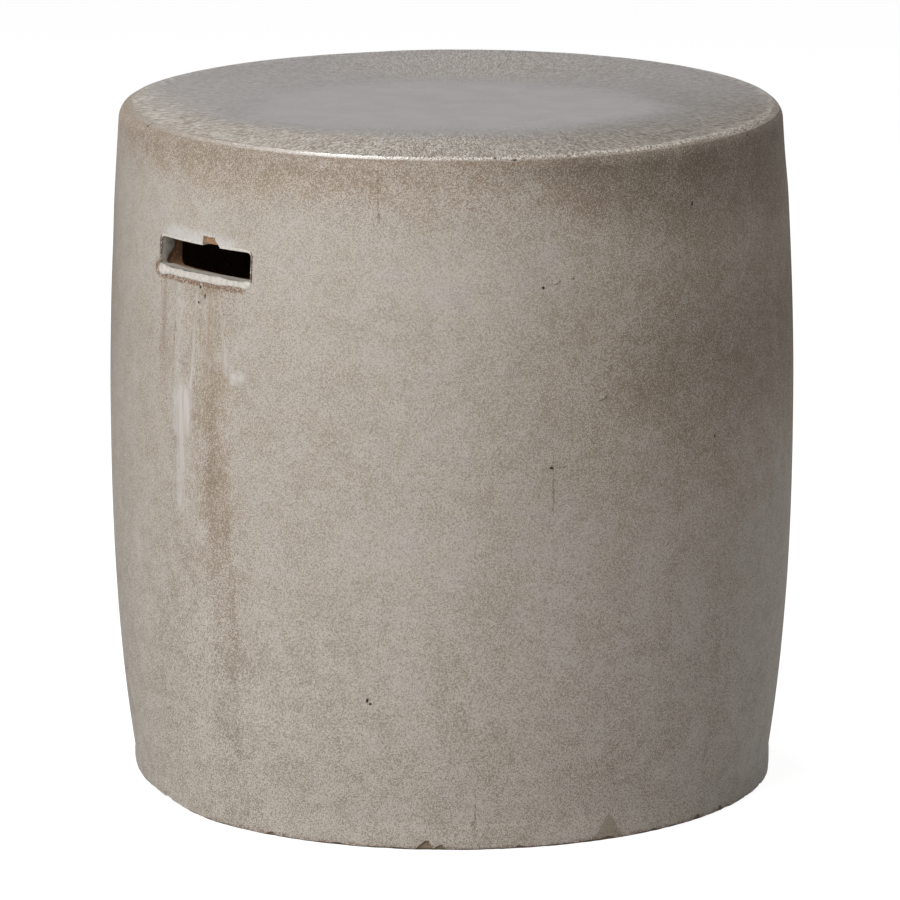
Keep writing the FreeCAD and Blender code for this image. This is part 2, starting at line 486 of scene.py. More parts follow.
# How deep the painted shade on the seat's flecked glaze is, by angle: it darkens the right side
SEAT_PAINTED_SHADE = ((-20, 0.0), (0, 0.25), (28, 0.75), (45, 1.0), (86, 1.0), (105, 0.4), (125, 0.0))


def rim_end(angle):
    """Where the pale glaze ends, in mm past the edge of the flat seat."""
    return by_angle(PALE_END, angle) + 1.0 * round_noise(angle, 40, 21) + 0.8 * round_noise(angle, 130, 22)


def make_seat_glaze():
    outline = [(RIM_CENTRE_RADIUS * (k / 66), HEIGHT) for k in range(67)]
    outline += [rim_point(0, d) for d in (84, 78, 72, 67, 62, 58, 55, 52.5, 50.5, 49, 48)]
    outline += [rim_point(0.5 * MM, 47.2), rim_point(1.0 * MM, 47.2)]
    outline += [rim_point(GLAZE, d) for d in (50, 60, 75, 90)]
    outline += [(RIM_CENTRE_RADIUS * k, HEIGHT - GLAZE) for k in (0.8, 0.4, 0)]
    cap = thrown("seat_glaze_coat", outline, 420)
    points, angle, radius, z = turned_points(cap)
    on_rim = radius > RIM_CENTRE_RADIUS + 0.01 * MM
    slant = np.where(on_rim, rim_slant(radius, z), math.pi / 2)
    depth = np.where(on_rim, RIM_ROLL - rim_reach(radius, z), HEIGHT - z)
    outside = depth < 0.5 * MM
    pool = pool_share(angle, radius)
    bead = (0.18 + 0.20 * hump(angle, -30, 45)) * hump(along_rim(radius, z), 0.3, 4.2)
    bead = bead * (1 + 0.25 * round_noise(angle, 110, 24))
    wrinkle = 0.11 * rough(points, 8 * MM, 31) + 0.08 * rough(points, 4 * MM, 32)
    face = -0.35 - 0.12 * pool - 0.18 * smooth_step(175, 211, radius / MM) + (1 - 0.85 * pool) * wrinkle
    face += -0.9 * hump(turn_between(angle, -150), 0, 40) * smooth_step(120, 205, radius / MM)
    face += 0.12 * rough(points, 60 * MM, 33)
    # Towards its end the seat's glaze lies flush with the wall's
    flush = smooth_step(math.radians(76), math.radians(54), slant)
    face = face * (1 - flush) + (wall_face(angle, z, points) / MM + 0.06) * flush
    face = np.where(outside, np.clip(face + bead, -1.3, -0.02), 0)
    reach = RIM_ROLL - depth + face * MM
    radius = np.where(on_rim, RIM_CENTRE_RADIUS + reach * np.cos(slant), radius)
    z = np.where(on_rim, RIM_CENTRE_HEIGHT + reach * np.sin(slant), z + face * MM)
    set_turned(cap, points, radius, z)
    close_up(cap)
    smooth(cap, 60)
    return cap


def slot_path(count):
    """Points round the slot's opening and the outward direction at each, seen from outside."""
    half_w, half_h = SLOT_WIDTH / 2 - SLOT_CORNER, SLOT_HEIGHT / 2 - SLOT_CORNER
    quarter = SLOT_CORNER * math.pi / 2
    # Centres of the four corners with the heading at which each arc starts, from lower left on
    legs = []
    corners = ((-half_w, -half_h, 180), (half_w, -half_h, 270), (half_w, half_h, 0), (-half_w, half_h, 90))
    for u, v, start in corners:
        legs.append(("arc", quarter, (u, v), start))
        legs.append(("line", 2 * (half_w if start in (180, 0) else half_h), (u, v), start + 90))
    total = sum(leg[1] for leg in legs)
    path = []
    for k in range(count):
        along = total * k / count
        for kind, length, (u, v), start in legs:
            if along < length:
                break
            along -= length
        turned, run = (90 * along / length, 0) if kind == "arc" else (0, along)
        heading = math.radians(start + turned)
        out_u, out_v = math.cos(heading), math.sin(heading)
        place = (u + SLOT_CORNER * out_u - out_v * run, v + SLOT_CORNER * out_v + out_u * run)
        path.append((*place, out_u, out_v))
    return np.array(path)


# The lining's section behind its roll: widths outward and depths inward, mostly in mm.
# The first two widths are shares of the roll's width.
TUCK = ((0.9, 0.35), (0.7, 0.75), (1.4, 2.5), (1.4, 6), (1.4, 10), (1.1, 12.3), (0.55, 12.6), (0.1, 12.0),
        (0, 8.5), (0, 4.5))
# How far the low side bulges towards the opening there, in mm
SILL_BULGE = (0, 0, 0, 0, 0, 0.2, 0.6, 0.9, 0.6, 0.2)
TUCK_DEPTH = 12.4  # the lining's depth in mm at which the section's depths hold
ROLL_STEPS = 12


def make_slot_glaze(name, side, seed):
    """The glaze that lines a hand slot and rolls over its outer edge."""
    count, section = 210, ROLL_STEPS + len(TUCK)
    deselect_all()
    bpy.ops.mesh.primitive_torus_add(major_segments=count, minor_segments=section,
                                     major_radius=0.05, minor_radius=0.01)
    lining = bpy.context.object
    lining.name = name
    u, v, out_u, out_v = slot_path(count).T
    place = np.stack([u, v, np.full(count, seed * 0.1)], 1)
    lumps = rough(place, 15 * MM, seed)
    middle = rough(place, 7 * MM, seed + 2)
    fine = rough(place, 3 * MM, seed + 1)
    low, high, left, right = (smooth_step(0.3, 0.9, way) for way in (-out_v, out_v, -out_u, out_u))
    left_end = smooth_step(-SLOT_WIDTH / 2 + 14 * MM, -SLOT_WIDTH / 2, u)
    rise = (0.10 + 1.35 * low) * (1 + 0.40 * lumps + 0.10 * middle + 0.05 * fine) + 0.45 * low * left_end
    width = 0.6 + 2.9 * low + 1.6 * low * left_end + 1.2 * high
    width = width * (1 + 0.20 * lumps + 0.08 * middle + 0.04 * fine)
    overhang = (0.06 + 1.6 * low) * (1 + 0.45 * lumps + 0.15 * middle + 0.22 * fine) + 0.8 * low * left_end
    depth = 12.0 + 1.2 * lumps + 0.9 * fine - 5.5 * left * smooth_step(2 * MM, -6 * MM, v) - 1.5 * right
    depth = np.minimum(depth, SLOT_GLAZE_DEPTH / MM)
    outward, inward = np.zeros((count, section)), np.zeros((count, section))
    for j in range(ROLL_STEPS):
        # The roll, from inside the mouth over the edge and down to the wall
        turn = math.radians(-35 + 215 * j / (ROLL_STEPS - 1))
        outward[:, j] = -overhang + (width + overhang) / 2 * (1 - math.cos(turn))
        inward[:, j] = -rise * math.sin(turn) + (0.6 if j == 0 else 0)
    for j, ((wide, deep), bulge) in enumerate(zip(TUCK, SILL_BULGE), ROLL_STEPS):
        outward[:, j] = width * wide if deep < 1 else wide - low * bulge
        inward[:, j] = deep if deep < 1 else deep * depth / TUCK_DEPTH
    across = u[:, None] + out_u[:, None] * outward * MM
    z = SLOT_MIDDLE + v[:, None] + out_v[:, None] * outward * MM
    reach = wall_radius(z) - FACE_INSET - inward * MM
    x = side * np.sqrt(reach**2 - across**2)
    set_points(lining, np.stack([x, side * across, z], 2).reshape(-1, 3))
    close_up(lining)
    take_up(lining)
    rounding = lining.modifiers.new("rounding", "SUBSURF")
    rounding.levels = rounding.render_levels = 1
    bpy.ops.object.modifier_apply(modifier=rounding.name)
    smooth(lining, 60)
    return lining


def make_foot_ring():
    """The bare foot ring, with its worn and chipped edges."""
    outside = FOOT_RADIUS - GLAZE
    inside = outside - FOOT_THICKNESS
    wall_inside = FOOT_RADIUS - GLAZE - WALL
    outline = [(outside, SEAM_HEIGHT)]
    outline += [(outside, h * MM) for h in (14, 11, 9, 7.5, 6, 4.5, 3.2, 2.2, 1.4)]
    outline += [(outside - d * MM, h * MM) for d, h in ((0.15, 0.8), (0.5, 0.35), (1.0, 0.08), (1.8, 0))]
    outline += [(outside - d * MM, 0) for d in (3, 5, 7.5, 10, 14, 18, 21, 23)]
    outline += [(inside + d * MM, h * MM) for d, h in ((0.9, 0.1), (0.2, 0.6), (0, 1.6), (0, 6))]
    outline += [(inside, SEAM_HEIGHT - (wall_inside - inside)), (wall_inside, SEAM_HEIGHT)]
    outline += [(wall_inside + 6 * MM, SEAM_HEIGHT)]
    ring = thrown("foot_ring_clay", outline, 420)
    points, angle, radius, z = turned_points(ring)
    low = smooth_step(8 * MM, 1 * MM, z) * smooth_step(inside + 8 * MM, outside - 6 * MM, radius)
    outer = smooth_step(outside - 2.2 * MM, outside - 0.2 * MM, radius)
    bevel = worn_foot(angle) * 7 * MM * smooth_step(7 * MM, 0, z)
    bevel = bevel * smooth_step(outside - 12 * MM, outside, radius)
    chips = np.maximum(0, rough(points, 5 * MM, 41)) * 1.1 * MM + 0.25 * MM * rough(points, 1.8 * MM, 42)
    radius = radius - bevel - chips * low * (0.4 + 0.6 * outer)
    for middle, reach, rise in NICKS:
        nick = nick_share(angle, middle, reach) * smooth_step(rise * MM, 0, z)
        radius = radius - 0.5 * MM * nick * outer
    wear = 0.35 * MM * np.maximum(0, rough(points, 12 * MM, 43)) * smooth_step(1.2 * MM, 0, z)
    set_turned(ring, points, radius, z + wear)
    close_up(ring)
    smooth(ring, 50)
    return ring


# Shader nodes, and the groups of nodes that more than one material uses

GROUPS = {}


def wire(tree, value, socket):
    """Joins a socket to an input, or sets the input to a value."""
    if isinstance(value, bpy.types.NodeSocket):
        tree.links.new(value, socket)
    else:
        socket.default_value = value


def add_node(tree, kind, inputs=None, **settings):
    node = tree.nodes.new(kind)
    for key, value in settings.items():
        setattr(node, key, value)
    for key, value in (inputs or {}).items():
        wire(tree, value, node.inputs[key])
    return node


def reckon(tree, operation, first, second=0.0, third=0.0, clamp=False):
    inputs = {0: first, 1: second, 2: third}
    return add_node(tree, "ShaderNodeMath", inputs, operation=operation, use_clamp=clamp).outputs[0]


def folded(operation):
    """A function that joins any number of values with an operation."""
    def join(tree, *values):
        total = values[0]
        for value in values[1:]:
            total = reckon(tree, operation, total, value)
        return total
    return join


add, times, larger = folded("ADD"), folded("MULTIPLY"), folded("MAXIMUM")


def length_of(tree, first, second, *least):
    """The length of two steps at right angles."""
    return reckon(tree, "SQRT", add(tree, times(tree, first, first), times(tree, second, second), *least))


def ranged(tree, value, low, high, low_to=0.0, high_to=1.0, kind="SMOOTHSTEP"):
    inputs = {"Value": value, "From Min": low, "From Max": high, "To Min": low_to, "To Max": high_to}
    return add_node(tree, "ShaderNodeMapRange", inputs, interpolation_type=kind, clamp=True).outputs[0]


def slide(tree, share, start, end):
    """Goes evenly from start to end as share goes from 0 to 1."""
    return ranged(tree, share, 0.0, 1.0, start, end, "LINEAR")


def mixed(tree, share, first, second):
    """A colour mixed from two by a share."""
    node = tree.nodes.new("ShaderNodeMix")
    node.data_type = "RGBA"
    for value, socket in ((share, node.inputs[0]), (first, node.inputs[6]), (second, node.inputs[7])):
        if isinstance(value, tuple):
            value = (*value, 1.0)
        wire(tree, value, socket)
    return node.outputs[2]


def speckle(tree, vector, size, detail=2.0, roughness=0.55, distortion=0.0):
    """Noise with lumps of a size in mm."""
    inputs = {"Vector": vector, "Scale": 1000.0 / size, "Detail": detail, "Roughness": roughness,
              "Distortion": distortion}
    return add_node(tree, "ShaderNodeTexNoise", inputs).outputs[0]


def sway(tree, value, strength):
    """How far noise lies over or under its middle, times a strength."""
    return times(tree, add(tree, value, -0.5), strength)


def patches(tree, vector, size, detail, roughness, low, high):
    """A mask made from noise, 0 at low and 1 at high."""
    return ranged(tree, speckle(tree, vector, size, detail, roughness), low, high)


def stretched(tree, vector, *scale):
    return add_node(tree, "ShaderNodeMapping", {"Vector": vector, "Scale": scale}).outputs[0]


def split(tree, vector):
    return add_node(tree, "ShaderNodeSeparateXYZ", {0: vector}).outputs


def new_group(name, inputs, outputs):
    """A group of nodes whose inputs are numbers, apart from Position, and whose outputs are numbers."""
    group = bpy.data.node_groups.new(name, "ShaderNodeTree")
    for way, sockets in (("INPUT", inputs), ("OUTPUT", outputs)):
        for socket in sockets:
            kind = "NodeSocketVector" if socket == "Position" else "NodeSocketFloat"
            group.interface.new_socket(name=socket, in_out=way, socket_type=kind)
    return group, group.nodes.new("NodeGroupInput").outputs, group.nodes.new("NodeGroupOutput").inputs


def use_group(tree, name, inputs):
    node = tree.nodes.new("ShaderNodeGroup")
    node.node_tree = GROUPS[name]
    for key, value in inputs.items():
        wire(tree, value, node.inputs[key])
    return node.outputs


NEVER_ZERO = 1e-8  # keeps a distance from the axis from being 0 where something is divided by it


def make_place_group():
    """Turns a position into mm round the wall, above the floor and away from the axis."""
    group, given, result = new_group("place_on_drum", ["Position"], ["Around", "Height", "Away"])
    parts = split(group, given["Position"])
    angle = reckon(group, "ARCTAN2", parts[0], times(group, parts[1], -1.0))
    wire(group, times(group, angle, 180 / math.pi * DEGREE_LENGTH), result["Around"])
    wire(group, times(group, parts[2], 1000.0), result["Height"])
    wire(group, times(group, length_of(group, parts[0], parts[1], NEVER_ZERO), 1000.0), result["Away"])
    return group


def make_mark_group():
    """A spot or a stroke on the wall, 1 inside and soft at its edge."""
    names = ["Around", "Height", "Middle Around", "Middle Height", "Half Width", "Half Height", "Softness"]
    group, given, result = new_group("mark", names, ["Mask"])
    across = reckon(group, "SUBTRACT", given["Around"], given["Middle Around"])
    up = reckon(group, "SUBTRACT", given["Height"], given["Middle Height"])
    across = reckon(group, "DIVIDE", across, given["Half Width"])
    up = reckon(group, "DIVIDE", up, given["Half Height"])
    inner = reckon(group, "SUBTRACT", 1.0, given["Softness"])
    outer = add(group, 1.0, given["Softness"])
    wire(group, ranged(group, length_of(group, across, up), outer, inner), result["Mask"])
    return group


SLOT_REACH = 43.9  # mm from a slot's middle to its end, measured round the belly


def make_slot_group():
    """Distance in mm from a hand slot's opening, 0 inside it, and the way from its middle."""
    group, given, result = new_group("from_slot", ["Around", "Height", "Slot Around"],
                                     ["Distance", "Across", "Up"])
    across = reckon(group, "SUBTRACT", given["Around"], given["Slot Around"])
    up = reckon(group, "SUBTRACT", given["Height"], SLOT_MIDDLE / MM)
    beside = larger(group, add(group, reckon(group, "ABSOLUTE", across), -SLOT_REACH), 0.0)
    over = larger(group, add(group, reckon(group, "ABSOLUTE", up), -SLOT_HEIGHT / 2 / MM), 0.0)
    wire(group, length_of(group, beside, over), result["Distance"])
    wire(group, across, result["Across"])
    wire(group, up, result["Up"])
    return group


def make_fleck_group():
    """Fine pale flecks that float in a darker glaze, fewer where it is tan, and fewer in the wall's painted
    shade.
    """
    group, given, result = new_group("glaze_flecks", ["Position", "Tan And Shade", "Drawn Down"],
                                     ["Pale", "Fleck", "Cloud", "Warmth"])
    position, share = given["Position"], given["Drawn Down"]
    curl = speckle(group, position, 0.66, 0.0, 0.5, 0.6)
    grain = speckle(group, position, 1.3, 1.0, 0.5, 0.8)
    drawn = speckle(group, stretched(group, position, 1.0, 1.0, 0.2), 0.9, 2.0, 0.6, 0.3)
    cloud = speckle(group, position, 34.0, 3.0, 0.55, 0.3)
    patch = speckle(group, position, 11.0, 2.0, 0.55, 0.6)
    tint = speckle(group, position, 14.0, 3.0, 0.6, 0.4)
    fleck = add(group, times(group, curl, 0.68), times(group, grain, 0.32))
    rest = reckon(group, "SUBTRACT", 1.0, share)
    fleck = add(group, times(group, fleck, rest), times(group, drawn, share))
    level = add(group, fleck, sway(group, cloud, 0.14), sway(group, patch, 0.17),
                sway(group, given["Tan And Shade"], -0.10))
    wire(group, ranged(group, level, 0.43, 0.57), result["Pale"])
    wire(group, fleck, result["Fleck"])
    wire(group, cloud, result["Cloud"])
    warmth = add(group, times(group, cloud, 0.45), times(group, tint, 0.55))
    wire(group, ranged(group, warmth, 0.62, 0.38), result["Warmth"])
    return group


def new_material(name):
    material = bpy.data.materials.new(name)
    material.use_nodes = True
    tree = material.node_tree
    return material, tree, tree.nodes["Principled BSDF"]


def position_of(tree):
    """Object coordinates turned so that -Y faces the camera."""
    coordinates = tree.nodes.new("ShaderNodeTexCoord").outputs["Object"]
    turn = (0, 0, math.radians(PHOTO_TURN))
    return add_node(tree, "ShaderNodeMapping", {"Vector": coordinates, "Rotation": turn}).outputs[0]


def place_at(tree, position):
    return use_group(tree, "place", {"Position": position})


def flecks_at(tree, position, tan, drawn):
    return use_group(tree, "flecks", {"Position": position, "Tan And Shade": tan, "Drawn Down": drawn})


def marks(tree, around, height, spots):
    """The union of marks given as (angle, height, half width, half height, softness)."""
    masks = []
    for angle, middle, half_width, half_height, softness in spots:
        masks.append(use_group(tree, "mark", {
            "Around": around, "Height": height,
            "Middle Around": angle * DEGREE_LENGTH, "Middle Height": float(middle),
            "Half Width": half_width, "Half Height": half_height, "Softness": softness})[0])
    return larger(tree, *masks)


# Marks in the glaze: angle, height, half width and half height in mm, softness
# Pinholes are real pits; their near-black colour is painted shade
PINHOLES = (
    (15.0, 373, 0.8, 0.9, 0.4), (-14.1, 101.5, 1.0, 1.5, 0.35), (-13.6, 99.4, 0.9, 0.9, 0.4),
    (16.2, 256, 1.4, 1.1, 0.4), (48.2, 262, 0.9, 1.0, 0.4), (43.9, 417, 0.9, 1.1, 0.4),
    (61.5, 452, 0.8, 0.9, 0.4), (100.0, 372, 1.1, 1.2, 0.4), (121.0, 140, 1.2, 1.0, 0.4),
    (168.0, 255, 1.1, 1.4, 0.4), (-152.0, 402, 0.9, 0.9, 0.4), (-118.0, 96, 1.2, 1.3, 0.4),
    (-96.0, 300, 0.9, 1.0, 0.4), (-45.8, 361.4, 0.9, 0.9, 0.4), (-44.7, 356.3, 0.6, 1.4, 0.5),
    (-46.1, 351.4, 0.7, 0.9, 0.4),
)
PIMPLES = (
    (17.1, 376, 1.5, 1.0, 0.6), (17.5, 376.6, 1.2, 0.8, 0.6), (19.8, 378.5, 1.4, 1.0, 0.6),
    (-12.25, 420, 1.3, 1.5, 0.6), (24.4, 298.4, 2.4, 1.2, 0.6), (25.2, 299.8, 2.0, 1.2, 0.6),
    (48.4, 264.6, 1.8, 1.1, 0.6), (49.1, 266, 1.8, 1.1, 0.6), (105.0, 330, 1.6, 1.2, 0.6),
    (140.0, 200, 2.2, 1.2, 0.6), (-130.0, 260, 1.6, 1.4, 0.6), (-165.0, 120, 2.0, 1.2, 0.6),
)
RUST = (
    (-12.2, 436, 0.55, 16.0, 0.5), (-12.25, 420, 1.2, 1.7, 0.5), (-12.3, 442, 0.7, 6.0, 0.6),
    (16.5, 243, 0.5, 21.0, 0.5), (16.6, 238, 0.6, 7.0, 0.6), (18.0, 256, 3.2, 0.5, 0.5),
    (-38.0, 136.5, 0.7, 5.0, 0.5), (-38.3, 126, 0.5, 3.0, 0.6), (4.0, 27, 0.5, 15.0, 0.5),
    (3.6, 16.5, 1.1, 3.6, 0.5), (-52.0, 334, 0.6, 4.0, 0.5), (-52.3, 325, 0.6, 5.5, 0.5),
    (-56.6, 319, 0.6, 5.0, 0.5), (60.0, 433.5, 0.7, 1.4, 0.5), (60.5, 68, 0.5, 3.0, 0.6),
    (10.8, 452.5, 3.0, 1.2, 0.6), (-60.0, 446, 0.5, 6.0, 0.6), (-52.0, 440, 0.5, 5.0, 0.6),
    (-44.5, 446, 0.7, 4.0, 0.6), (-63.5, 441, 0.5, 4.0, 0.6), (132.0, 432, 0.6, 14.0, 0.5),
    (170.0, 60, 0.5, 13.0, 0.5), (-105.0, 240, 0.5, 10.0, 0.5), (-140.0, 444, 0.7, 7.0, 0.5),
)


def tan_and_shade_share(angle, up):
    """Share of tan in the wall's glaze: 0 is pale and 1 is tan. Mostly the glaze's own tan from its firing,
    but its rise on the right side's upper half is painted shade and a pale upright patch low at the front
    is a painted reflection.
    """
    share = 0.32 - 0.14 * hump(up, 385, 70) - 0.06 * smooth_step(80, 20, up) + 0.04 * hump(up, 240, 60)
    # Painted shade: the right side turns darker and browner, more so in its upper half
    right = between(angle, 0, 42, 110, 150)
    share += right * (0.05 + 0.48 * smooth_step(170, 330, up))
    # The tan band under the rim
    edge = 417 + 7 * round_noise(angle, 9, 51) + 6 * round_noise(angle, 30, 52)
    edge += 14 * smooth_step(-10, -32, angle) - 14 * right
    share += (0.36 - 0.21 * right) * smooth_step(-26, 22, up - edge)
    share += 0.10 * between(angle, -92, -74, -34, -8) * smooth_step(-14, 6, up - edge)
    share += 0.16 * between(angle, -30, 20, 110, 150) * smooth_step(436, 452, up)
    # Bands where the glaze ran thin below the slots, and their tails towards the foot
    below = smooth_step(368, 360, up)
    middle = 2.2 + 0.4 * smooth_step(300, 256, up) + 1.2 * smooth_step(256, 150, up)
    middle -= 0.6 * smooth_step(120, 30, up)
    for slot, strength in ((LEFT_SLOT, 1.0), (RIGHT_SLOT, 0.8)):
        off = turn_between(angle, slot)
        bands = 0.46 * hump(off, -9.5, 1.8) * smooth_step(255, 330, up)
        bands += 0.25 * hump(off, middle + 0.6, 5.4) * (0.70 + 0.30 * smooth_step(60, 330, up))
        bands += 0.15 * hump(off, 1, 16) * smooth_step(0, 90, up)
        bands += 0.18 * hump(off, 7.5, 4.0) * smooth_step(325, 350, up)
        bands += 0.26 * hump(off, 0, 10.5) * smooth_step(352, 364, up)
        tail = 0.18 * hump(off, middle + 3.4, 1.5) * smooth_step(270, 200, up)
        share += strength * (bands * below + tail)
    share += 0.12 * hump(angle, -62, 5) * between(up, 60, 330, 300, 370)
    streaks = 0.09 * round_noise(angle, 60, 81) + 0.07 * round_noise(angle, 150, 82)
    share += streaks * smooth_step(340, 180, up)
    # Painted reflection: a pale upright patch low down at the front
    return share - 0.08 * hump(angle, -6, 5) * between(up, 60, 110, 190, 240)


def smooth_share(angle, up):
    """1 where the glaze is thick and clear of flecks."""
    share = np.minimum(run_relief(angle, up) / 0.52, 1)
    over = smooth_step(385, 390, up) * smooth_step(404, 392, up + 3.0 * round_noise(angle, 90, 61))
    tails = smooth_step(368, 355, up) * smooth_step(240, 330, up)
    for slot in (LEFT_SLOT, RIGHT_SLOT):
        off = turn_between(angle, slot) * DEGREE_LENGTH
        share = np.maximum(share, 0.80 * smooth_step(50, 26, np.abs(off + 2)) * over)
        share = np.maximum(share, 0.55 * hump(off, 10, 17) * tails)
        share = np.maximum(share, 0.5 * hump(off, -38, 8) * tails)
    return share


def drawn_share(angle, up):
    """1 where the glaze ran down and its texture is drawn out."""
    share = 0.15 * smooth_step(425, 440, up)
    for slot in (LEFT_SLOT, RIGHT_SLOT):
        under = smooth_step(372, 364, up) * smooth_step(-60, 300, up)
        share = np.maximum(share, 0.34 * hump(turn_between(angle, slot), -1, 14) * under)
    return np.maximum(share, 0.2 * np.maximum(hump(angle, -70, 16), hump(angle, 66, 20)))


def paint(piece, name, values):
    """Stores a mask on a piece's points."""
    layer = piece.data.attributes.new(name, "FLOAT", "POINT")
    layer.data.foreach_set("value", np.clip(values, 0, 1).astype(np.float32))


def mask_of(tree, name):
    node = add_node(tree, "ShaderNodeAttribute", attribute_name=name, attribute_type="GEOMETRY")
    return node.outputs["Fac"]


COOL_GROUND = (0.365, 0.320, 0.274)
WARM_GROUND = (0.360, 0.310, 0.247)
TAN_GROUND = (0.300, 0.228, 0.158)
DEEP_GROUND = (0.175, 0.132, 0.096)
COOL_FLECK = (0.540, 0.490, 0.444)
WARM_FLECK = (0.550, 0.491, 0.426)
DEEP_FLECK = (0.400, 0.345, 0.285)
WEDGE_TAN = (0.270, 0.215, 0.150)
CREASE_COLOUR = (0.190, 0.145, 0.100)
SEAT_MARK_COLOUR = (0.120, 0.085, 0.060)
BEAD_COLOUR = (0.700, 0.655, 0.590)
SILL_COLOUR = (0.610, 0.570, 0.505)
THIN_LIP = (0.200, 0.120, 0.075)
RUST_COLOUR = (0.175, 0.085, 0.040)
# Near-black painted shade inside pinholes
HOLE_SHADE = (0.018, 0.013, 0.010)
CLAY = (0.330, 0.190, 0.105)
FOOT_CLAY = (0.300, 0.245, 0.175)
FOOT_SHADE = (0.190, 0.130, 0.080)
# Painted contact shadow along the foot ring's lowest edge
FOOT_CONTACT_SHADOW = (0.110, 0.080, 0.052)
SLIP = (0.290, 0.170, 0.100)
SLIP_SHADE = (0.225, 0.125, 0.070)

# Pairs of colours that a mask mixes
BOLD = ((0.275, 0.228, 0.178), (0.610, 0.555, 0.490))
CLEAR = ((0.600, 0.572, 0.535), (0.370, 0.295, 0.225))
SEAT_INNER = ((0.245, 0.220, 0.208), (0.435, 0.408, 0.400))
# A darker copy of the inner pair, for painted shade
SEAT_INNER_SHADED = ((0.120, 0.098, 0.080), (0.300, 0.275, 0.255))
SEAT_OUTER = ((0.205, 0.150, 0.095), (0.740, 0.700, 0.640))
# A darker copy of the outer pair, for painted shade
SEAT_OUTER_SHADED = ((0.048, 0.033, 0.021), (0.390, 0.345, 0.295))
SEAT_POOL = ((0.400, 0.378, 0.382), (0.430, 0.408, 0.412))
LIP = ((0.570, 0.520, 0.455), (0.680, 0.645, 0.590))
# Painted shade deep inside the slots' ends
LIP_SHADED_INSIDE = ((0.170, 0.140, 0.110), (0.380, 0.355, 0.320))


def fleck_colour(tree, flecks, tan):
    """The mottled glaze's colour from its flecks and its share of tan, which on the wall also carries
    painted shade.
    """
    ground = mixed(tree, flecks["Warmth"], COOL_GROUND, WARM_GROUND)
    ground = mixed(tree, ranged(tree, tan, 0.20, 0.70, kind="LINEAR"), ground, TAN_GROUND)
    deep = ranged(tree, tan, 0.65, 1.0, kind="LINEAR")
    ground = mixed(tree, deep, ground, DEEP_GROUND)
    pale = mixed(tree, flecks["Warmth"], COOL_FLECK, WARM_FLECK)
    pale = mixed(tree, deep, pale, DEEP_FLECK)
    return mixed(tree, flecks["Pale"], ground, pale)


def finish_glaze(tree, shader, colour, roughness, height, depth):
    """Joins up a glaze: colour, gloss and the fine relief of its skin."""
    skin = add_node(tree, "ShaderNodeBump", {"Height": height, "Distance": depth, "Strength": 1.0})
    wire(tree, colour, shader.inputs["Base Color"])
    wire(tree, roughness, shader.inputs["Roughness"])
    wire(tree, skin.outputs[0], shader.inputs["Normal"])


# A wedge of thin glaze at the foot: angle, height and half width in mm
THIN_WEDGE = (28.4, 18.5, 13.0)


def wall_edges(tree, position, around, height):
    """Mask of the speckled brown edge under the slots' lips and along the foot."""
    edges = []
    for slot in (LEFT_SLOT, RIGHT_SLOT):
        inputs = {"Around": around, "Height": height, "Slot Around": slot * DEGREE_LENGTH}
        near = use_group(tree, "slot", inputs)
        close = ranged(tree, near["Distance"], 7.4, 6.0)
        below = ranged(tree, near["Up"], -2.0, -10.0)
        edges.append(times(tree, close, below, ranged(tree, near["Across"], 44.0, 34.0)))
    foot = add(tree, height, times(tree, speckle(tree, position, 7.0, 3.0), -5.0))
    edges.append(times(tree, ranged(tree, foot, 1.2, -0.6), 0.8))
    return times(tree, larger(tree, *edges), patches(tree, position, 1.5, 2.0, 0.6, 0.38, 0.55))


